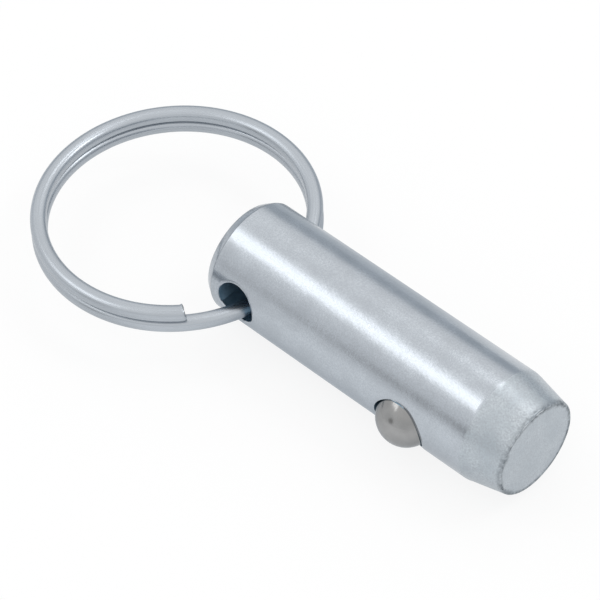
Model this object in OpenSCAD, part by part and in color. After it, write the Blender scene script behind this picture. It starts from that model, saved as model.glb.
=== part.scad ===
// Solid ring detent pin: plated steel shank, one sprung ball near the tip and a split ring at the back.
// The pin lies on its side. The origin is the centre of its back face, and its tip points along +X.

/* [Shank] */
// Shank diameter
shank_d = 12.7; // [11:0.1:18]
// Straight shank between the ring's hole and the ball, which takes the clamped parts
grip_len = 17.1; // [8:0.05:60]
// Metal left behind the ring's hole
back_wall = 2; // [1.5:0.05:5]
// Back chamfer, measured along the shank
back_chamfer_len = 1.05; // [0.3:0.05:1.4]
// Back chamfer, measured in from the side
back_chamfer_in = 0.7; // [0.2:0.1:1.2]
// Distance from the ball's centre to the flat face of the tip
nose_len = 12.95; // [10:0.05:20]
// Length of the tapered tip
taper_len = 4.5; // [2:0.1:6]
// How far the taper comes in at each side
taper_in = 0.95; // [0.4:0.05:2]
// Radius that blends the shank into the taper
taper_blend_r = 1.5; // [0.5:0.1:4]
// Rounding of the rim of the tip's flat face
tip_round = 0.4; // [0.2:0.05:0.6]

/* [Ball and spring] */
// Ball diameter
ball_d = 6.35; // [5:0.05:6.6]
// How far the ball stands out of the shank
ball_out = 1.72; // [0.8:0.01:1.8]
// Angle at which the ball's hole points below the ring's hole
ball_clock = 13.2; // [0:0.1:25]
// Running clearance between the ball and the wall of its hole
ball_clear = 0.05; // [0.03:0.01:0.1]
// How far the staked lip closes in over the ball
lip_bite = 0.04; // [0.03:0.005:0.12]
// Gap between the resting ball and the lip that stops it
lip_gap = 0.015; // [0.01:0.005:0.03]
// Metal left under the drill point of the ball's hole
far_wall = 2.05; // [1:0.05:3]
// Full angle of the drill point
drill_point_angle = 118; // [90:1:135]
// Wire diameter of the spring
spring_wire_d = 0.6; // [0.4:0.05:0.65]
// Clearance between the spring and the wall of the hole
spring_clear = 0.3; // [0.15:0.05:0.5]
// Turns of the spring, with one closed turn at each end
spring_turns = 5; // [4:0.5:6]
// Gap between the spring and what it bears on
spring_seat_gap = 0.02; // [0.01:0.01:0.05]

/* [Split ring] */
// Outer diameter of the ring
ring_od = 31; // [28:0.5:50]
// Width of the wire, measured in the ring's plane
wire_w = 1.75; // [1.2:0.05:2.2]
// Thickness of one turn, measured across the ring's plane
wire_t = 1.5; // [1:0.05:1.8]
// Rounding of the wire's corners
wire_round = 0.42; // [0.2:0.02:0.48]
// Gap between the two turns
turn_gap = 0.04; // [0.02:0.01:0.1]
// Clearance between the ring and the wall of its hole
ring_clear = 0.37; // [0.3:0.01:0.8]
// Angle from the hole back to the cut end of the upper turn
upper_end_angle = 47; // [35:1:120]
// Angle past the middle of the hole at which the wire starts to step down
step_start_angle = 22; // [18:1:24]
// Angle before the middle of the hole at which the wire has stepped down
step_end_angle = 16; // [12:1:20]
// Angle between the step and the cut end of the lower turn
lower_end_angle = 1; // [0.5:0.5:2]
// How far the resting ring is swung up from straight back
ring_lift_angle = -0.5; // [-3:0.1:8]

/* [Hidden] */
$fn = 96;

shank_r = shank_d / 2;
tip_face_r = shank_r - taper_in;
taper_angle = atan(taper_in / taper_len);

wire_mean_r = (ring_od - wire_w) / 2;
stack_h = 2 * wire_t + turn_gap;
turn_z = (wire_t + turn_gap) / 2;
// the wire bends this far to one side on its way through the shank
wire_sagitta = wire_mean_r - sqrt(pow(wire_mean_r, 2) - pow(shank_r, 2));
ring_hole_r = norm([stack_h / 2 - wire_round, (wire_w + wire_sagitta) / 2 - wire_round])
    + wire_round + ring_clear;
ring_hole_x = back_wall + ring_hole_r;

// the loose ring lies off centre in its hole, each way by a share of its clearance
drop_share = 0.3;
shift_share = 0.9;
slew_share = 1.38;
cant_share = 0.18;
ring_drop = drop_share * ring_clear;
ring_shift = shift_share * ring_clear;
ring_slew_angle = asin(slew_share * ring_clear / shank_r);
ring_cant_angle = asin(cant_share * ring_clear / shank_r);
ring_centre_x = wire_sagitta / 2 + ring_shift - wire_mean_r;

ball_r = ball_d / 2;
bore_r = ball_r + ball_clear;
lip_r = ball_r - lip_bite;
seat_r = ball_r + lip_gap;
ball_x = ring_hole_x + ring_hole_r + grip_len + lip_r;
pin_len = ball_x + nose_len;
ball_h = shank_r + ball_out - ball_r;

drill_slope = 1 / tan(drill_point_angle / 2);
drill_tip_h = far_wall - shank_r;
bore_floor_h = drill_tip_h + bore_r * drill_slope;

spring_wire_r = spring_wire_d / 2;
spring_mean_r = bore_r - spring_clear - spring_wire_r;
spring_bottom_h = bore_floor_h - (bore_r - spring_mean_r) * drill_slope
    + (spring_wire_r + spring_seat_gap) * norm([1, drill_slope]);
spring_top_h = ball_h
    - sqrt(pow(ball_r + spring_wire_r + spring_seat_gap, 2) - pow(spring_mean_r, 2));
closed_turn_share = 1.04;
closed_rise = spring_wire_d * closed_turn_share;
open_rise = (spring_top_h - spring_bottom_h - 2 * closed_rise) / (spring_turns - 2);
spring_steps_per_turn = 28;
spring_sides = 12;

corner_steps = 4;
blend_steps = 4;
step_sections = 16;
// the stepped stretch is a hair slimmer than the turns and runs a little way into both
step_slim = 0.02;
step_overlap_angle = 1;

// Points of an arc, given as angles from the first axis
function arc(centre, r, a0, a1, steps) =
    [for (i = [0:steps]) let (a = a0 + (a1 - a0) * i / steps) centre + r * [cos(a), sin(a)]];

// Half outline of the shank as [radius, distance from the back face]
function shank_outline() = concat(
    [[0, 0], [shank_r - back_chamfer_in, 0], [shank_r, back_chamfer_len]],
    arc([shank_r - taper_blend_r, pin_len - taper_len - taper_blend_r * tan(taper_angle / 2)],
        taper_blend_r, 0, taper_angle, blend_steps),
    arc([tip_face_r - tip_round * (1 - sin(taper_angle)) / cos(taper_angle), pin_len - tip_round],
        tip_round, taper_angle, 90, 2 * blend_steps),
    [[0, pin_len]]
);

// Outline of the ring's wire: a rectangle with rounded corners, centred on [0, 0]
function wire_outline(slimmer = 0) =
    [for (k = [0:3])
        let (side_w = (k == 0 || k == 3) ? 1 : -1, side_t = k < 2 ? 1 : -1)
        each arc([side_w * (wire_w / 2 - wire_round), side_t * (wire_t / 2 - wire_round)],
            wire_round - slimmer, 90 * k, 90 * (k + 1), corner_steps)];

// Height of the wire at an angle on its step from the upper turn to the lower one
function step_z(angle) =
    let (share = min(1, max(0, (step_start_angle - angle) / (step_start_angle + step_end_angle))))
    turn_z - 2 * turn_z * share * share * (3 - 2 * share);

// Height of the spring's wire above its seat after so many turns
function spring_z(turn) =
    turn < 1 ? closed_rise * turn
    : turn < spring_turns - 1 ? closed_rise + open_rise * (turn - 1)
    : closed_rise + open_rise * (spring_turns - 2) + closed_rise * (turn - spring_turns + 1);

// A point turned about Z, from its radius, height and angle
function around(r, z, a) = [r * cos(a), r * sin(a), z];

// Closed skin over a row of sections that all have the same number of points
module skin(sections) {
    n = len(sections[0]);
    last = (len(sections) - 1) * n;
    sides = [for (i = [0:len(sections) - 2], j = [0:n - 1])
        let (a = i * n + j, b = i * n + (j + 1) % n)
        each [[a, b + n, b], [a, a + n, b + n]]];
    first_cap = [for (j = [0:n - 1]) j];
    last_cap = [for (j = [0:n - 1]) last + n - 1 - j];
    polyhedron(points = [for (s = sections) each s], faces = concat(sides, [first_cap, last_cap]));
}

// Puts children on the axis of the ball's hole, with +Z pointing out of it
module on_ball_axis() {
    translate([ball_x, 0, 0]) rotate([90 + ball_clock, 0, 0]) children();
}

// Blind hole with a drill point, a ball seat and a lip staked in round its mouth
module ball_hole() {
    translate([0, 0, drill_tip_h]) cylinder(h = bore_r * drill_slope, r1 = 0, r2 = bore_r);
    translate([0, 0, bore_floor_h]) cylinder(h = ball_h - bore_floor_h, r = bore_r);
    translate([0, 0, ball_h]) sphere(r = seat_r);
    translate([0, 0, ball_h]) cylinder(h = shank_r, r = lip_r);
}

module pin_body() {
    color([0.70, 0.73, 0.77])
    difference() {
        rotate([0, 90, 0]) rotate_extrude() polygon(shank_outline());
        translate([ring_hole_x, 0, 0]) rotate([90, 0, 0])
            cylinder(h = 2 * shank_d, r = ring_hole_r, center = true);
        on_ball_axis() ball_hole();
    }
}

module detent_ball() {
    color([0.60, 0.60, 0.60])
    on_ball_axis() translate([0, 0, ball_h]) sphere(r = ball_r);
}

module detent_spring() {
    steps = spring_turns * spring_steps_per_turn;
    color([0.50, 0.52, 0.55])
    on_ball_axis() skin([for (i = [0:steps])
        let (turn = i / spring_steps_per_turn, z = spring_bottom_h + spring_z(turn))
        [for (k = [0:spring_sides - 1])
            let (a = -360 * k / spring_sides)
            around(spring_mean_r + spring_wire_r * cos(a), z + spring_wire_r * sin(a), 360 * turn)]]);
}

// Flat stretch of one turn of the ring, from one angle round to another
module turn_arc(z, from, to) {
    rotate([0, 0, from]) rotate_extrude(angle = to - from)
        translate([wire_mean_r, z]) polygon(wire_outline());
}

// Stretch inside the shank where the wire steps from the upper turn down to the lower one
module turn_step() {
    outline = wire_outline(step_slim);
    first = step_start_angle + step_overlap_angle;
    last = -step_end_angle - step_overlap_angle;
    skin([for (i = [0:step_sections])
        let (angle = first + (last - first) * i / step_sections)
        [for (p = outline) around(wire_mean_r + p[0], step_z(angle) + p[1], angle)]]);
}

module split_ring() {
    color([0.74, 0.76, 0.79])
    translate([ring_hole_x, 0, 0])
    rotate([0, ring_lift_angle, 0])
    rotate([ring_cant_angle, 0, 0])
    rotate([0, 0, ring_slew_angle])
    translate([ring_centre_x, 0, -ring_drop]) {
        turn_arc(turn_z, step_start_angle, 360 - upper_end_angle);
        turn_step();
        turn_arc(-turn_z, step_start_angle + lower_end_angle, 360 - step_end_angle);
    }
}

pin_body();
detent_ball();
detent_spring();
split_ring();
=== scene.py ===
import math

import bpy
import numpy as np
from mathutils import Matrix, Vector, noise

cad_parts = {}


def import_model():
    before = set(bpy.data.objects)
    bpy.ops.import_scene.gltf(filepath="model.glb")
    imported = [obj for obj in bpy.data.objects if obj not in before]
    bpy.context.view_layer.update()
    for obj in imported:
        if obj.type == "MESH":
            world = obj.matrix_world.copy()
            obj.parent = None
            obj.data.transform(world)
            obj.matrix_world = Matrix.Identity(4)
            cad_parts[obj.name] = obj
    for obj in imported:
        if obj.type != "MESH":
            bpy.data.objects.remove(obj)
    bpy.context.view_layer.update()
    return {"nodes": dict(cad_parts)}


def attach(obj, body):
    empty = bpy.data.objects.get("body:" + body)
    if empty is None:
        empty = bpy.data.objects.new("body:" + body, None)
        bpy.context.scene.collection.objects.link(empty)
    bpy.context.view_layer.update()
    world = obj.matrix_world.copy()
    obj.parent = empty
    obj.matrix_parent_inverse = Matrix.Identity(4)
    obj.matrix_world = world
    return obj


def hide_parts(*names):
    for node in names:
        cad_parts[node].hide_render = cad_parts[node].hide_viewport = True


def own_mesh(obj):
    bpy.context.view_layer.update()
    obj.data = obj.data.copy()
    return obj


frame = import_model()

MM = 0.001

# Sizes that the solids have too, in millimetres
SHANK_R = 6.35
PIN_LEN = 39.9917
BACK_CHAMFER_LEN = 1.05
BACK_CHAMFER_IN = 0.7
TAPER_LEN = 4.5
TAPER_IN = 0.95
RING_HOLE_X = 4.40337
RING_HOLE_R = 2.40337
BALL_X = 27.0417
BALL_R = 3.175
BALL_H = 4.895
BALL_CLOCK = 13.2
BORE_R = 3.225
LIP_R = 3.135
SEAT_R = 3.19
BORE_FLOOR_H = -2.362
DRILL_TIP_H = -4.3
SPRING_R = 2.625
SPRING_WIRE_R = 0.3
SPRING_LOW_H = -2.349
SPRING_HIGH_H = 2.588
SPRING_TURNS = 5
SPRING_CLOSED_RISE = 0.624
WIRE_MEAN_R = 14.625
WIRE_W = 1.75
# The drawn wire is a little thicker than its solid, so that its two turns nearly touch
WIRE_T = 1.53
TURN_Z = 0.77
STEP_START = 22
STEP_END = -16
UPPER_END = 313
LOWER_END = -337
RING_LIFT = -0.5
RING_CANT = 0.60094
RING_SLEW = 4.6121
RING_CENTRE_X = -13.56676
RING_DROP = 0.111

# Camera, fitted to the photograph
CAM_AZ, CAM_EL, CAM_ROLL = 44.879, 47.529, -1.85
CAM_DIST, CAM_FOCAL, FRAME_PX = 349.522, 3396.286, 600
CAM_RIGHT, CAM_UP = -3.049, 0.836
CAM_TARGET_X = 11.9975


def camera():
    az, el, roll = (math.radians(a) for a in (CAM_AZ, CAM_EL, CAM_ROLL))
    back = Vector((math.sin(az) * math.cos(el), -math.cos(az) * math.cos(el), math.sin(el)))
    level = Vector((math.cos(az), math.sin(az), 0))
    rise = back.cross(level)
    right = level * math.cos(roll) + rise * math.sin(roll)
    up = rise * math.cos(roll) - level * math.sin(roll)
    eye = Vector((CAM_TARGET_X, 0, 0)) + back * CAM_DIST + right * CAM_RIGHT + up * CAM_UP
    data = bpy.data.cameras.new("camera")
    data.sensor_width = 36
    data.lens = CAM_FOCAL / FRAME_PX * data.sensor_width
    data.clip_start, data.clip_end = 0.01, 20
    obj = bpy.data.objects.new("camera", data)
    turn = Matrix((right, up, back)).transposed().to_4x4()
    obj.matrix_world = Matrix.Translation(eye * MM) @ turn
    bpy.context.scene.collection.objects.link(obj)
    bpy.context.scene.camera = obj


def link(name, mesh, *materials):
    obj = bpy.data.objects.new(name, mesh)
    bpy.context.scene.collection.objects.link(obj)
    for m in materials:
        mesh.materials.append(m)
    return obj


def mesh_of(name, points, faces, smooth=True):
    """Mesh from points in millimetres."""
    mesh = bpy.data.meshes.new(name)
    mesh.from_pydata([tuple(float(c) * MM for c in p) for p in points], [], faces)
    mesh.validate()
    mesh.polygons.foreach_set("use_smooth", [smooth] * len(mesh.polygons))
    mesh.update()
    return mesh


def swept(name, rings, along, around):
    """Closed tube over rings of points, with a UV map in millimetres along it and around it."""
    count, n = rings.shape[:2]
    faces = [
        (i * n + j, i * n + (j + 1) % n, (i + 1) * n + (j + 1) % n, (i + 1) * n + j)
        for i in range(count - 1) for j in range(n)
    ]
    faces.append(tuple(range(n))[::-1])
    faces.append(tuple((count - 1) * n + j for j in range(n)))
    mesh = mesh_of(name, rings.reshape(-1, 3), faces)
    layer = mesh.uv_layers.new(name="UVMap")
    for poly in mesh.polygons:
        columns = {v % n for v in poly.vertices}
        wraps = len(poly.vertices) == 4 and {0, n - 1} <= columns
        for li in poly.loop_indices:
            i, j = divmod(mesh.loops[li].vertex_index, n)
            layer.data[li].uv = (along[i], around[-1] if wraps and j == 0 else around[j])
    return mesh


def grain(x, y, z, scale, seed):
    """Smooth noise, about -1 to 1."""
    return noise.noise(Vector((x * scale + seed, y * scale - seed, z * scale + 2 * seed)))


def turn(about, degrees):
    return Matrix.Rotation(math.radians(degrees), 4, about)


def solid_of(profile, steps):
    """Closed solid of revolution about Z from [radius, height] pairs whose ends lie on the axis."""
    rings = profile[1:-1]
    points = [(0, 0, profile[0][1])]
    for r, h in rings:
        points += [(r * math.cos(a), r * math.sin(a), h) for a in np.arange(steps) * (2 * math.pi / steps)]
    points.append((0, 0, profile[-1][1]))
    last = len(points) - 1
    faces = [(0, 1 + (j + 1) % steps, 1 + j) for j in range(steps)]
    for i in range(len(rings) - 1):
        a, b = 1 + i * steps, 1 + (i + 1) * steps
        faces += [(a + j, a + (j + 1) % steps, b + (j + 1) % steps, b + j) for j in range(steps)]
    a = 1 + (len(rings) - 1) * steps
    faces += [(a + j, a + (j + 1) % steps, last) for j in range(steps)]
    return points, faces


# Shank
STEPS = 384
EDGE_R = 0.1
GROOVE_X, GROOVE_W, GROOVE_DEPTH = 1.05, 0.07, 0.03
TAPER_X = PIN_LEN - TAPER_LEN
FACE_R = SHANK_R - TAPER_IN
RIM_R = 0.26
FACE_SINK = 0.035
# Where the rim is torn most, and how far that reaches, in degrees round the pin
BURR_ANGLE, BURR_SPAN = 92, 34
BULGE_ANGLE = 153


def shank_profile():
    """Half outline as [radius, x], from the middle of the back face to the middle of the tip."""
    lean = math.atan2(BACK_CHAMFER_IN, BACK_CHAMFER_LEN)
    slope = math.atan2(TAPER_IN, TAPER_LEN)
    back_r = SHANK_R - BACK_CHAMFER_IN
    out = [(0, 0)]
    out += [(r, 0) for r in np.linspace(0.6, back_r - 1.5 * EDGE_R, 10)]
    out += [(back_r - EDGE_R * 0.5, 0.012), (back_r + EDGE_R * 0.25, 0.25 * EDGE_R + 0.02)]
    for share in (0.15, 0.5, 0.85):
        out.append((back_r + BACK_CHAMFER_IN * share, BACK_CHAMFER_LEN * share))
    low = SHANK_R - GROOVE_DEPTH
    out += [(low - 0.035, GROOVE_X - GROOVE_W), (low, GROOVE_X), (SHANK_R, GROOVE_X + GROOVE_W)]
    out += [(SHANK_R, x) for x in (GROOVE_X + 2 * GROOVE_W, TAPER_X - 1.2, TAPER_X - 0.6)]
    for x in np.linspace(TAPER_X - 0.3, TAPER_X + 0.3, 7):
        fall = 0.5 * math.tan(slope) / 0.6 * (x - TAPER_X + 0.3) ** 2
        out.append((SHANK_R - fall, x))
    for x in np.linspace(TAPER_X + 0.45, PIN_LEN - 0.55, 24):
        out.append((SHANK_R - math.tan(slope) * (x - TAPER_X), x))
    turn_in = math.radians(90) - slope
    run = RIM_R * math.tan(turn_in / 2)
    centre_x = PIN_LEN - RIM_R
    corner_r = SHANK_R - math.tan(slope) * (centre_x - TAPER_X) - RIM_R / math.cos(slope)
    for k in range(13):
        a = slope + turn_in * k / 12
        out.append((corner_r + RIM_R * math.cos(a), centre_x + RIM_R * math.sin(a)))
    for d in (0.04, 0.08, 0.12, 0.17, 0.25):
        out.append((corner_r - d, PIN_LEN - FACE_SINK * min(1, d / 0.12)))
    out += [(r, PIN_LEN - FACE_SINK) for r in np.linspace(corner_r - 0.4, 0.3, 26)]
    out.append((0, PIN_LEN - FACE_SINK))
    return out


def shank_shell():
    points, faces = solid_of(shank_profile(), STEPS)
    shaped = []
    for px, py, x in points:
        r = math.hypot(px, py)
        a = math.atan2(py, px)
        c, sn = math.cos(a), math.sin(a)
        if x > TAPER_X - 0.5 and r > 0:
            on_face = x > PIN_LEN - 0.06 and r < FACE_R - 0.3
            fade = min(1, (x - TAPER_X + 0.5) / 1.2)
            wave = 0.014 * grain(x, r * c, r * sn, 0.55, 3.1) + 0.005 * grain(x, r * c, r * sn, 1.7, 8.3)
            if on_face:
                x -= 0.004 + 0.35 * abs(wave)
            else:
                r -= fade * max(0, 0.016 + wave)
                if x < TAPER_X + 0.4:
                    x += 0.22 * grain(0, 3 * c, 3 * sn, 0.9, 5.7)
        shaped.append((x, r * c, r * sn))
    return mesh_of("pin", shaped, faces)


def mouth_cutter(name, radius, stages, frame_of, depth_of, inner):
    """Round cutter whose flared mouth follows the shank's surface.

    stages are [extra radius, depth under the surface]; inner is the rest of its outline as
    [radius, height] down to the axis; depth_of gives the surface's height at a point."""
    steps = 128
    points, faces = [], []
    rows = [(radius + stages[0][0], None)] + [(radius + extra, depth) for extra, depth in stages]
    for r, depth in rows:
        for j in range(steps):
            a = 2 * math.pi * j / steps
            u, v = r * math.cos(a), r * math.sin(a)
            h = SHANK_R + 1.5 if depth is None else depth_of(u, v) - depth
            points.append((u, v, h))
    for r, h in inner[:-1]:
        points += [
            (r * math.cos(2 * math.pi * j / steps), r * math.sin(2 * math.pi * j / steps), h)
            for j in range(steps)
        ]
    count = len(rows) + len(inner) - 1
    for i in range(count - 1):
        faces += [
            (i * steps + j, (i + 1) * steps + j, (i + 1) * steps + (j + 1) % steps, i * steps + (j + 1) % steps)
            for j in range(steps)
        ]
    faces.append(tuple(range(steps)))
    points.append((0, 0, inner[-1][1]))
    base = (count - 1) * steps
    faces += [(base + (j + 1) % steps, base + j, len(points) - 1) for j in range(steps)]
    mesh = mesh_of(name, [frame_of @ Vector(p) for p in points], faces)
    plated = len(rows) - 1
    for poly in mesh.polygons:
        poly.material_index = 0 if poly.index < plated * steps else 1
    return link(name, mesh)


def surface_height(u, v):
    """Height of the shank's surface over a hole's axis; u runs along the shank but is not used."""
    return math.sqrt(SHANK_R ** 2 - v ** 2)


def cut(obj, cutters):
    for c in cutters:
        mod = obj.modifiers.new(c.name, "BOOLEAN")
        mod.operation = "DIFFERENCE"
        mod.solver = "EXACT"
        mod.object = c
    graph = bpy.context.evaluated_depsgraph_get()
    mesh = bpy.data.meshes.new_from_object(obj.evaluated_get(graph))
    obj.modifiers.clear()
    obj.data = mesh
    for c in cutters:
        bpy.data.objects.remove(c)


def ring_hole_frame(side):
    """Frame with its third axis out of the ring's hole, on the -Y side or the +Y side."""
    x, z = Vector((1, 0, 0)), Vector((0, side, 0))
    return Matrix.Translation((RING_HOLE_X, 0, 0)) @ Matrix((x, z.cross(x), z)).transposed().to_4x4()


BALL_FRAME = Matrix.Translation((BALL_X, 0, 0)) @ turn("X", 90 + BALL_CLOCK)


def ragged(a):
    """How strongly the tip's rim is torn at an angle round it, 0 to 1."""
    c, sn = math.cos(a), math.sin(a)
    return max(0.0, min(1.0, 0.55 + 0.9 * grain(2 * c, 2 * sn, 0, 1.3, 4.2)))


def pin(zinc, bore):
    mesh = shank_shell()
    obj = link("pin", mesh, zinc, bore)
    flare = [(0.42, -0.01), (0.36, 0.012), (0.2, 0.05), (0.08, 0.11), (0.0, 0.22)]
    stake = [(0.5, -0.01), (0.42, 0.01), (0.16, 0.05), (0.05, 0.09), (0.0, 0.16)]
    seat_h = math.sqrt(SEAT_R ** 2 - LIP_R ** 2)
    seat = [
        (SEAT_R * math.cos(a), BALL_H + SEAT_R * math.sin(a))
        for a in np.linspace(math.asin(seat_h / SEAT_R), 0, 6)
    ]
    inner = seat + [(BORE_R, BALL_H), (BORE_R, BORE_FLOOR_H), (0, DRILL_TIP_H)]
    cutters = [
        mouth_cutter("near", RING_HOLE_R, flare, ring_hole_frame(-1), surface_height,
                     [(RING_HOLE_R, -0.2), (0, -0.2)]),
        mouth_cutter("far", RING_HOLE_R, flare, ring_hole_frame(1), surface_height,
                     [(RING_HOLE_R, -0.2), (0, -0.2)]),
        mouth_cutter("ball_hole", LIP_R, stake[:-1], BALL_FRAME, surface_height, inner),
    ]
    cut(obj, cutters)
    finish_shell(obj.data)
    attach(obj, "pin")
    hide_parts("pin_body")
    return obj


def finish_shell(mesh):
    """Exact normals on the straight shank, and the masks that its material uses; the bright mask is a painted glint
    on the torn tip rim.
    """
    mesh.set_sharp_from_angle(angle=math.radians(38))
    normals = [(0.0, 0.0, 0.0)] * len(mesh.loops)
    for poly in mesh.polygons:
        poly.use_smooth = True
        c = poly.center / MM
        if poly.material_index == 0 and GROOVE_X + GROOVE_W <= c.x <= TAPER_X - 0.6:
            for li in poly.loop_indices:
                v = mesh.vertices[mesh.loops[li].vertex_index].co / MM
                if abs(math.hypot(v.y, v.z) - SHANK_R) > 0.004:
                    break
            else:
                for li in poly.loop_indices:
                    v = mesh.vertices[mesh.loops[li].vertex_index].co
                    normals[li] = tuple(Vector((0, v.y, v.z)).normalized())
    mesh.normals_split_custom_set(normals)
    line = mesh.attributes.new("line", "FLOAT", "POINT")
    matte = mesh.attributes.new("matte", "FLOAT", "POINT")
    # bright holds the painted glint on the tip rim
    bright = mesh.attributes.new("bright", "FLOAT", "POINT")
    for i, vertex in enumerate(mesh.vertices):
        v = vertex.co / MM
        r, a = math.hypot(v.y, v.z), math.atan2(v.z, v.y)
        groove = max(0.0, 1 - abs(v.x - GROOVE_X) / GROOVE_W) * 0.8 if r > SHANK_R - 0.2 else 0.0
        c, sn = math.cos(a), math.sin(a)
        rim, painted_glint = 0.0, 0.0
        if v.x > PIN_LEN - 0.3:
            torn = math.exp(-((math.degrees(a) - BURR_ANGLE) / BURR_SPAN) ** 2)
            jag = 0.09 * grain(c, sn, 0, 9.0, 1.9) + 0.05 * grain(c, sn, 0, 27.0, 7.4)
            bulge = math.exp(-((math.degrees(a) - BULGE_ANGLE) / 7) ** 2)
            width = 0.2 + 0.3 * ragged(a) + 0.14 * bulge
            rim_r = FACE_R - 0.16 - 0.24 * torn - 0.12 * bulge + jag
            rim = max(0.0, 1 - abs(r - rim_r) / width) ** 0.7 * (0.5 + 0.5 * ragged(a + 0.4))
            edge_r = FACE_R + 0.02 + 0.5 * jag
            outer_line = max(0.0, 1 - abs(r - edge_r) / 0.09) * torn * 0.7
            rim = max(rim, outer_line)
            broken = max(0.0, grain(c, sn, 0, 14.0, 3.3) + 0.1 + 0.2 * torn)
            near_side = 0.4 if math.sin(a) > -0.2 else 0.0
            # Painted glint: a paler colour where a ridge of the torn rim would catch the light, strongest on the
            # upper side
            painted_glint = max(0.0, 1 - abs(r - 0.6 * rim_r - 0.4 * edge_r) / 0.09)
            painted_glint *= max(torn, near_side) * min(1.0, 2 * broken)
        line.data[i].value = max(groove, rim)
        bright.data[i].value = painted_glint
        on_face = v.x > PIN_LEN - 0.1 and r < FACE_R - 0.3
        matte.data[i].value = 0.7 if on_face else max(0.0, min(1.0, (v.x - TAPER_X + 0.3) / 0.35))


# Ring
SECTION_POINTS = 40
SECTION_POWER = 2.45


def section(squeeze=1.0):
    """Outline of the wire: a rectangle with full corners and slightly crowned sides."""
    out = []
    for j in range(SECTION_POINTS):
        a = 2 * math.pi * j / SECTION_POINTS
        c, sn = math.cos(a), math.sin(a)
        k = (abs(c) ** SECTION_POWER + abs(sn) ** SECTION_POWER) ** (-1 / SECTION_POWER)
        out.append((WIRE_W / 2 * k * c * squeeze, WIRE_T / 2 * k * sn * squeeze))
    return out


def wire_height(angle):
    share = min(1, max(0, (STEP_START - angle) / (STEP_START - STEP_END)))
    return TURN_Z - 2 * TURN_Z * share * share * (3 - 2 * share)


def ring(wire, cut_end):
    """One wire from the upper cut end, round, through the hole's step and round again below."""
    place = (
        Matrix.Translation((RING_HOLE_X, 0, 0)) @ turn("Y", RING_LIFT) @ turn("X", RING_CANT)
        @ turn("Z", RING_SLEW) @ Matrix.Translation((RING_CENTRE_X, 0, -RING_DROP))
    )
    degree_len = math.radians(1) * WIRE_MEAN_R
    angles = np.concatenate([
        UPPER_END - np.array([0, 0.12, 0.3, 0.7, 1.3, 2.0]),
        np.arange(UPPER_END - 3, LOWER_END + 2, -1.0),
        LOWER_END + np.array([1.2, 0.5, 0.2, 0.0]),
    ])
    rings, along = [], []
    for angle in angles:
        from_top, from_low = UPPER_END - angle, angle - LOWER_END
        squeeze = 1.0 - 0.07 * max(0, 1 - from_top / 0.3) - 0.05 * max(0, 1 - from_low / 0.3)
        a = math.radians(angle)
        row = []
        for u, h in section(squeeze):
            z = wire_height(angle) + h
            swing = a
            if from_top < 1.4:
                nip = 1 - from_top / 1.4
                inner, outer = max(0, -u / WIRE_W * 2), max(0, u / WIRE_W * 2)
                high = max(0, h / WIRE_T * 2)
                u -= nip ** 2 * (0.2 * inner * high + 0.1 * (1 - inner))
                z += nip ** 2 * high * (0.2 * outer + 0.1 * inner)
                swing += nip * (0.016 * (1 - inner) + 0.02 * (1 - high) - 0.016)
            row.append(place @ Vector(((WIRE_MEAN_R + u) * math.cos(swing), (WIRE_MEAN_R + u) * math.sin(swing), z)))
        rings.append([tuple(v) for v in row])
        along.append((UPPER_END - angle) * degree_len)
    edge = section()
    around = [0.0]
    for j in range(SECTION_POINTS):
        (u0, h0), (u1, h1) = edge[j], edge[(j + 1) % SECTION_POINTS]
        around.append(around[-1] + math.hypot(u1 - u0, h1 - h0))
    mesh = swept("ring", np.array(rings), along, around)
    mesh.set_sharp_from_angle(angle=math.radians(50))
    obj = link("ring", mesh, wire, cut_end)
    for poly in mesh.polygons[-2:]:
        poly.material_index = 1
    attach(obj, "ring")
    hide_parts("split_ring")
    return obj


def spring(metal_of_it):
    """Compression spring with a closed turn at each end."""
    per_turn, sides = 48, 16
    open_rise = (SPRING_HIGH_H - SPRING_LOW_H - 2 * SPRING_CLOSED_RISE) / (SPRING_TURNS - 2)
    rings, along = [], []
    for i in range(SPRING_TURNS * per_turn + 1):
        t = i / per_turn
        if t < 1:
            rise = SPRING_CLOSED_RISE * t
        elif t < SPRING_TURNS - 1:
            rise = SPRING_CLOSED_RISE + open_rise * (t - 1)
        else:
            rise = SPRING_HIGH_H - SPRING_LOW_H - SPRING_CLOSED_RISE * (SPRING_TURNS - t)
        a = 2 * math.pi * t
        row = []
        for k in range(sides):
            b = -2 * math.pi * k / sides
            r = SPRING_R + SPRING_WIRE_R * math.cos(b)
            h = SPRING_LOW_H + rise + SPRING_WIRE_R * math.sin(b)
            row.append(tuple(BALL_FRAME @ Vector((r * math.cos(a), r * math.sin(a), h))))
        rings.append(row)
        along.append(a * SPRING_R)
    around = [2 * math.pi * SPRING_WIRE_R * k / sides for k in range(sides + 1)]
    obj = link("spring", swept("spring", np.array(rings), along, around), metal_of_it)
    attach(obj, "pin")
    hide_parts("detent_spring")
    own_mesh(obj)
    return obj


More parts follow.
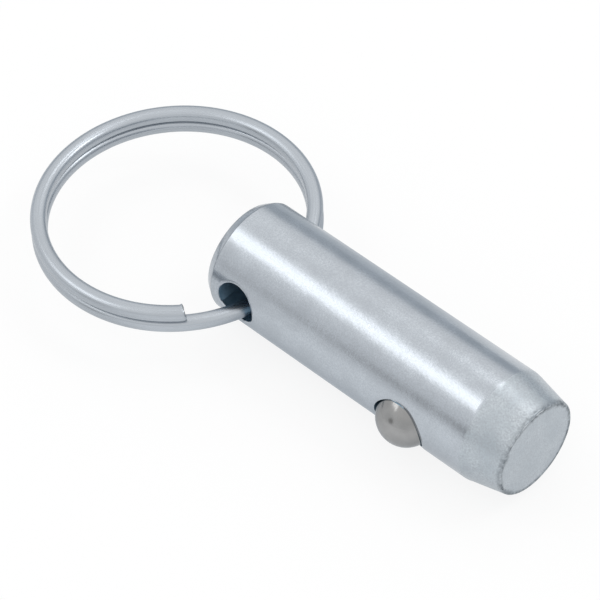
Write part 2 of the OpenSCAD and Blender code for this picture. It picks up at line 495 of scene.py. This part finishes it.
class Graph:
    """Material whose nodes are made by short calls."""

    def __init__(self, name):
        self.mat = bpy.data.materials.new(name)
        self.mat.use_nodes = True
        self.tree = self.mat.node_tree
        self.shader = self.tree.nodes["Principled BSDF"]
        self.shader.inputs["Metallic"].default_value = 1
        self.coord = self.tree.nodes.new("ShaderNodeTexCoord")

    def join(self, source, target):
        if isinstance(source, (int, float)):
            target.default_value = source
        elif isinstance(source, tuple):
            target.default_value = (*source, 1)
        else:
            self.tree.links.new(source, target)

    def math(self, operation, *values):
        made = self.tree.nodes.new("ShaderNodeMath")
        made.operation = operation
        for value, socket in zip(values, made.inputs):
            self.join(value, socket)
        return made.outputs[0]

    def noise(self, scale, detail=2.0, stretch=None, shift=0.0):
        """Noise from 0 to 1; scale is in cells a metre, or a millimetre along a UV with a stretch."""
        made = self.tree.nodes.new("ShaderNodeTexNoise")
        made.inputs["Scale"].default_value = scale
        made.inputs["Detail"].default_value = detail
        mapping = self.tree.nodes.new("ShaderNodeMapping")
        mapping.inputs["Location"].default_value = (shift, shift / 2, -shift)
        source = self.coord.outputs["Object"]
        if stretch:
            mapping.inputs["Scale"].default_value = (*stretch, 1)
            source = self.coord.outputs["UV"]
        self.tree.links.new(source, mapping.inputs["Vector"])
        self.tree.links.new(mapping.outputs[0], made.inputs["Vector"])
        return made.outputs["Fac"]

    def fit(self, value, low, high, to_low, to_high):
        made = self.tree.nodes.new("ShaderNodeMapRange")
        for number, socket in zip((low, high, to_low, to_high), made.inputs[1:5]):
            self.join(number, socket)
        self.tree.links.new(value, made.inputs[0])
        return made.outputs[0]

    def mix(self, share, a, b):
        made = self.tree.nodes.new("ShaderNodeMix")
        made.data_type = "RGBA"
        self.join(share, made.inputs[0])
        self.join(a, made.inputs[6])
        self.join(b, made.inputs[7])
        return made.outputs[2]

    def mask(self, name):
        made = self.tree.nodes.new("ShaderNodeAttribute")
        made.attribute_name = name
        return made.outputs["Fac"]

    def bump(self, height, depth, strength=1.0):
        made = self.tree.nodes.new("ShaderNodeBump")
        made.inputs["Strength"].default_value = strength
        made.inputs["Distance"].default_value = depth
        self.tree.links.new(height, made.inputs["Height"])
        self.tree.links.new(made.outputs[0], self.shader.inputs["Normal"])

    def color(self, source):
        self.join(source, self.shader.inputs["Base Color"])

    def roughness(self, source):
        self.join(source, self.shader.inputs["Roughness"])


def shade(color, factor):
    return tuple(c * factor for c in color)


ZINC = (0.475, 0.51, 0.55)


def zinc_material():
    g = Graph("zinc_plate")
    cloud = g.fit(g.noise(420, 4), 0.32, 0.68, 0, 1)
    fine = g.fit(g.noise(5600, 3, shift=2.0), 0.34, 0.66, 0, 1)
    base = g.mix(cloud, shade(ZINC, 0.97), shade(ZINC, 1.09))
    matte = g.mask("matte")
    patch = g.fit(g.noise(330, 2.5, shift=3.0), 0.36, 0.64, 0, 1)
    dull = g.mix(patch, (0.45, 0.505, 0.54), (0.57, 0.62, 0.65))
    base = g.mix(g.math("MULTIPLY", matte, 0.85), base, dull)
    grainy = g.math("MULTIPLY_ADD", matte, 0.35, 0.6)
    base = g.mix(g.math("MULTIPLY", fine, grainy), base, shade(ZINC, 0.86))
    line = g.mask("line")
    broken = g.math("MULTIPLY", line, g.fit(g.noise(2200, 2, shift=5.0), 0.35, 0.6, 0.35, 1))
    base = g.mix(broken, base, (0.07, 0.085, 0.10))
    # The pale colour on the bright mask is a painted glint on the tip rim
    g.color(g.mix(g.mask("bright"), base, (0.78, 0.81, 0.83)))
    rough = g.fit(cloud, 0, 1, 0.185, 0.235)
    rough = g.math("ADD", rough, g.math("MULTIPLY", matte, 0.13))
    g.roughness(g.math("ADD", rough, g.math("MULTIPLY", line, 0.15)))
    grit = g.noise(3000, 4, shift=9.0)
    ripple = g.noise(900, 3, shift=6.0)
    dents = g.math("SUBTRACT", g.noise(1500, 4, shift=12.0), 0.5)
    relief = g.math("MULTIPLY_ADD", grit, 0.5, g.math("MULTIPLY", ripple, 0.8))
    relief = g.math("ADD", relief, g.math("MULTIPLY", dents, g.math("MULTIPLY", matte, 1.6)))
    g.bump(relief, 0.000024, 0.6)
    return g.mat


def bore_material():
    # Inside the holes: rougher bare metal, whose deep blue-grey colour is partly painted shade of the hole
    g = Graph("bore_and_painted_shade")
    cloud = g.fit(g.noise(520, 3), 0.35, 0.65, 0, 1)
    g.color(g.mix(cloud, (0.14, 0.25, 0.34), (0.28, 0.42, 0.53)))
    g.roughness(g.fit(cloud, 0, 1, 0.6, 0.45))
    g.bump(g.noise(1500, 3), 0.00003, 0.6)
    return g.mat


def wire_material():
    g = Graph("drawn_wire")
    streak = g.fit(g.noise(1, 3, stretch=(0.09, 9.0)), 0.32, 0.68, 0, 1)
    cloud = g.fit(g.noise(300, 2, shift=4.0), 0.3, 0.7, 0, 1)
    base = g.mix(streak, shade(ZINC, 0.86), shade(ZINC, 1.03))
    g.color(g.mix(g.math("MULTIPLY", cloud, 0.35), base, shade(ZINC, 0.87)))
    g.roughness(g.fit(streak, 0, 1, 0.31, 0.24))
    g.bump(streak, 0.000008, 0.7)
    return g.mat


def cut_material():
    g = Graph("cut_wire")
    cloud = g.fit(g.noise(1800, 3), 0.35, 0.65, 0, 1)
    g.color(g.mix(cloud, (0.17, 0.19, 0.21), (0.34, 0.36, 0.38)))
    g.roughness(0.42)
    g.bump(cloud, 0.00003, 0.8)
    return g.mat


def ball_material():
    g = Graph("polished_ball")
    cloud = g.fit(g.noise(420, 3), 0.32, 0.68, 0, 1)
    g.color(g.mix(cloud, (0.29, 0.29, 0.288), (0.36, 0.36, 0.357)))
    g.roughness(g.fit(cloud, 0, 1, 0.19, 0.15))
    return g.mat


def spring_material():
    g = Graph("spring_wire")
    streak = g.fit(g.noise(1, 3, stretch=(0.12, 7.0)), 0.32, 0.68, 0, 1)
    g.color(g.mix(streak, (0.23, 0.24, 0.25), (0.34, 0.35, 0.36)))
    g.roughness(g.fit(streak, 0, 1, 0.34, 0.26))
    return g.mat


# How much bluer the dim parts of the studio are
DIM_BLUE = 0.09


def ramp(tree, value, low, high, stops):
    """Value curve through (place, brightness) stops, with places between low and high."""
    placed = tree.nodes.new("ShaderNodeMapRange")
    placed.inputs[1].default_value, placed.inputs[2].default_value = low, high
    tree.links.new(value, placed.inputs[0])
    made = tree.nodes.new("ShaderNodeValToRGB")
    tree.links.new(placed.outputs[0], made.inputs[0])
    while len(made.color_ramp.elements) < len(stops):
        made.color_ramp.elements.new(0.5)
    for e, (place, v) in zip(made.color_ramp.elements, stops):
        e.position = (place - low) / (high - low)
        e.color = (v - DIM_BLUE * (1.05 - v), v, v + DIM_BLUE * (1.05 - v), 1)
    return made.outputs[0]


def blend(tree, share, a, b):
    made = tree.nodes.new("ShaderNodeMix")
    made.data_type = "RGBA"
    for value, socket in ((share, made.inputs[0]), (a, made.inputs[6]), (b, made.inputs[7])):
        if isinstance(value, (int, float)):
            socket.default_value = value
        elif isinstance(value, tuple):
            socket.default_value = value
        else:
            tree.links.new(value, socket)
    return made.outputs[2]


WHITE = (1, 1, 1, 1)
FLOOR_SEEN, FLOOR_MIRRORED = 0.85, 0.7
# Past this slanted line, towards the tip, the painted shadow ends and the floor is bright all over
FLOOR_SLANT = 0.48
FLOOR_TINT = (0.985, 1, 1.015, 1)
# Brightness of the floor in the metal, by distance across the pin in metres: a painted shadow, dim under the pin and
# where its shadow falls behind it
FLOOR_PAINTED_SHADOW = [
    (-0.05, 1.07), (-0.02, 1.06), (-0.011, 0.98), (-0.0085, 0.87), (-0.006, 0.68), (0.007, 0.64),
    (0.0095, 0.5), (0.0145, 0.52), (0.019, 0.65), (0.05, 0.56),
]
# Brightness of the studio by height of direction, on the side behind the pin and on the near side
FAR_SIDE = [(0.0, 0.58), (0.31, 0.59), (0.45, 1.0), (0.7, 1.1), (1.0, 1.05)]
NEAR_SIDE = [(0.0, 0.93), (0.45, 0.95), (0.7, 1.05), (1.0, 1.05)]
# Dark things in the studio that the metal mirrors: direction, angles at which each ends and is full, share
DARK_SPOTS = [((-0.45, -0.87, 0.1), 30, 8, 0.08), ((-0.3, -0.93, 0.18), 12, 5, 0.5)]


def under_ring(tree, split):
    """Share of the floor below the ring, from the floor's own X and Y; there the pin's painted shadow gives way to a
    light painted shade under the ring.
    """
    shares = []
    for axis, dark, bright in ((0, 0.001, -0.004), (1, 0.028, 0.020)):
        part = tree.nodes.new("ShaderNodeMapRange")
        part.inputs[1].default_value, part.inputs[2].default_value = dark, bright
        tree.links.new(split.outputs[axis], part.inputs[0])
        shares.append(part.outputs[0])
    both = tree.nodes.new("ShaderNodeMath")
    both.operation = "MULTIPLY"
    for share, socket in zip(shares, both.inputs):
        tree.links.new(share, socket)
    return both.outputs[0]


def floor():
    mesh = mesh_of("floor", [(-3000, -3000, 0), (3000, -3000, 0), (3000, 3000, 0), (-3000, 3000, 0)],
                   [(0, 1, 2, 3)], smooth=False)
    mat = bpy.data.materials.new("floor")
    mat.use_nodes = True
    tree = mat.node_tree
    tree.nodes.clear()
    out = tree.nodes.new("ShaderNodeOutputMaterial")
    diffuse = tree.nodes.new("ShaderNodeBsdfDiffuse")
    diffuse.inputs["Color"].default_value = (0.88, 0.88, 0.88, 1)
    coord = tree.nodes.new("ShaderNodeTexCoord")
    split = tree.nodes.new("ShaderNodeSeparateXYZ")
    tree.links.new(coord.outputs["Object"], split.inputs[0])
    path = tree.nodes.new("ShaderNodeLightPath")
    glow = tree.nodes.new("ShaderNodeEmission")
    # The floor that the metal mirrors carries a painted shadow of the pin; camera rays see it white
    across = ramp(tree, split.outputs[1], -0.05, 0.05, FLOOR_PAINTED_SHADOW)
    slanted = tree.nodes.new("ShaderNodeMath")
    slanted.operation = "MULTIPLY_ADD"
    slanted.inputs[1].default_value = FLOOR_SLANT
    tree.links.new(split.outputs[1], slanted.inputs[0])
    tree.links.new(split.outputs[0], slanted.inputs[2])
    past = tree.nodes.new("ShaderNodeMapRange")
    past.inputs[1].default_value, past.inputs[2].default_value = 0.021, 0.034
    tree.links.new(slanted.outputs[0], past.inputs[0])
    across = blend(tree, past.outputs[0], across, (0.95, 0.95, 0.95, 1))
    # Below the ring the mirrored floor is an even 0.9: a light painted shade under the ring
    across = blend(tree, under_ring(tree, split), across, (0.9, 0.9, 0.9, 1))
    tint = tree.nodes.new("ShaderNodeMix")
    tint.data_type = "RGBA"
    tint.blend_type = "MULTIPLY"
    tint.inputs[0].default_value = 1
    tint.inputs[7].default_value = FLOOR_TINT
    tree.links.new(across, tint.inputs[6])
    across = tint.outputs[2]
    tree.links.new(blend(tree, path.outputs["Is Camera Ray"], across, WHITE), glow.inputs[0])
    seen = tree.nodes.new("ShaderNodeMath")
    seen.operation = "MULTIPLY"
    seen.inputs[1].default_value = FLOOR_SEEN
    tree.links.new(path.outputs["Is Camera Ray"], seen.inputs[0])
    mirrored = tree.nodes.new("ShaderNodeMath")
    mirrored.operation = "MULTIPLY_ADD"
    mirrored.inputs[1].default_value = FLOOR_MIRRORED
    tree.links.new(path.outputs["Is Glossy Ray"], mirrored.inputs[0])
    tree.links.new(seen.outputs[0], mirrored.inputs[2])
    mix = tree.nodes.new("ShaderNodeMixShader")
    tree.links.new(mirrored.outputs[0], mix.inputs[0])
    tree.links.new(diffuse.outputs[0], mix.inputs[1])
    tree.links.new(glow.outputs[0], mix.inputs[2])
    tree.links.new(mix.outputs[0], out.inputs[0])
    obj = link("floor", mesh, mat)
    obj.location.z = -SHANK_R * MM


def world():
    w = bpy.data.worlds.new("world")
    bpy.context.scene.world = w
    w.use_nodes = True
    tree = w.node_tree
    tree.nodes.clear()
    out = tree.nodes.new("ShaderNodeOutputWorld")
    coord = tree.nodes.new("ShaderNodeTexCoord")
    split = tree.nodes.new("ShaderNodeSeparateXYZ")
    tree.links.new(coord.outputs["Generated"], split.inputs[0])
    height = split.outputs[2]
    side = tree.nodes.new("ShaderNodeMapRange")
    side.inputs[1].default_value, side.inputs[2].default_value = -0.1, 0.35
    tree.links.new(split.outputs[1], side.inputs[0])
    room = blend(tree, side.outputs[0], ramp(tree, height, 0, 1, NEAR_SIDE), ramp(tree, height, 0, 1, FAR_SIDE))
    for direction, end, full, share in DARK_SPOTS:
        dot = tree.nodes.new("ShaderNodeVectorMath")
        dot.operation = "DOT_PRODUCT"
        dot.inputs[1].default_value = Vector(direction).normalized()
        tree.links.new(coord.outputs["Generated"], dot.inputs[0])
        spot = tree.nodes.new("ShaderNodeMapRange")
        spot.interpolation_type = "SMOOTHSTEP"
        spot.inputs[1].default_value = math.cos(math.radians(end))
        spot.inputs[2].default_value = math.cos(math.radians(full))
        spot.inputs[4].default_value = share
        tree.links.new(dot.outputs["Value"], spot.inputs[0])
        room = blend(tree, spot.outputs[0], room, (0, 0, 0, 1))
    path = tree.nodes.new("ShaderNodeLightPath")
    room = blend(tree, path.outputs["Is Camera Ray"], room, WHITE)
    bg = tree.nodes.new("ShaderNodeBackground")
    tree.links.new(room, bg.inputs[0])
    tree.links.new(bg.outputs[0], out.inputs[0])


def light_place(direction, distance):
    """Place of a light that faces the object; its own X lies along the pin."""
    d = Vector(direction).normalized()
    x = (Vector((1, 0, 0)) - d * d.x).normalized()
    facing = Matrix((x, d.cross(x), d)).transposed().to_4x4()
    return Matrix.Translation(Vector((0.018, 0, 0)) + d * distance) @ facing


KEY_RADIANCE = 1.65
# Along the key light in millimetres: place, middle line across it, share of its brightness
KEY_ALONG = [
    (-120, 46, 1), (-60, 24, 0.4), (-16, 6, 0.65), (-4, 1, 1), (15, -7, 1), (18, -10, 0), (31, -27, 0),
    (34, -31, 0.9), (50, -50, 1), (85, -95, 1),
]
# Across it: place in half widths, share of its brightness
KEY_ACROSS = [(-2.4, 0), (-1.7, 0.06), (-1.15, 0.35), (-0.8, 1), (1.0, 1), (1.35, 0.5), (1.8, 0.18), (2.6, 0)]
KEY_HALF_WIDTH = 68


def key_light():
    """Soft strip light that makes the bright streak; its edges fade."""
    points, glow = [], []
    for along, middle, share in KEY_ALONG:
        for across, part in KEY_ACROSS:
            points.append((along, middle + across * KEY_HALF_WIDTH, 0))
            glow.append(share * part * KEY_RADIANCE)
    n = len(KEY_ACROSS)
    faces = [
        (i * n + j, i * n + j + 1, (i + 1) * n + j + 1, (i + 1) * n + j)
        for i in range(len(KEY_ALONG) - 1) for j in range(n - 1)
    ]
    mesh = mesh_of("key", points, faces, smooth=False)
    mesh.attributes.new("glow", "FLOAT", "POINT").data.foreach_set("value", glow)
    mat = bpy.data.materials.new("key")
    mat.use_nodes = True
    tree = mat.node_tree
    tree.nodes.clear()
    strength = tree.nodes.new("ShaderNodeAttribute")
    strength.attribute_name = "glow"
    light = tree.nodes.new("ShaderNodeEmission")
    tree.links.new(strength.outputs["Fac"], light.inputs["Strength"])
    clear = tree.nodes.new("ShaderNodeBsdfTransparent")
    both = tree.nodes.new("ShaderNodeAddShader")
    tree.links.new(clear.outputs[0], both.inputs[0])
    tree.links.new(light.outputs[0], both.inputs[1])
    out = tree.nodes.new("ShaderNodeOutputMaterial")
    tree.links.new(both.outputs[0], out.inputs[0])
    obj = link("key", mesh, mat)
    obj.matrix_world = light_place((-0.496, -0.307, 0.812), 0.45)
    obj.visible_camera = False
    obj.visible_shadow = False


def softbox(name, direction, distance, size, radiance):
    """Area light of that radiance, facing the object; its first side lies along X."""
    data = bpy.data.lights.new(name, "AREA")
    data.shape = "RECTANGLE"
    data.size, data.size_y = size
    data.energy = radiance * math.pi * size[0] * size[1]
    obj = bpy.data.objects.new(name, data)
    obj.matrix_world = light_place(direction, distance)
    bpy.context.scene.collection.objects.link(obj)


camera()
zinc = zinc_material()
pin(zinc, bore_material())
ring(wire_material(), cut_material())
spring(spring_material())
frame["nodes"]["detent_ball"].material_slots[0].material = ball_material()
floor()
world()
key_light()
softbox("fill", (0.38, 0.477, 0.793), 0.45, (0.14, 0.14), 3.0)
softbox("crown", (-0.21, 0.45, 0.865), 0.45, (0.11, 0.11), 1.8)

bpy.context.scene.view_settings.view_transform = "Standard"
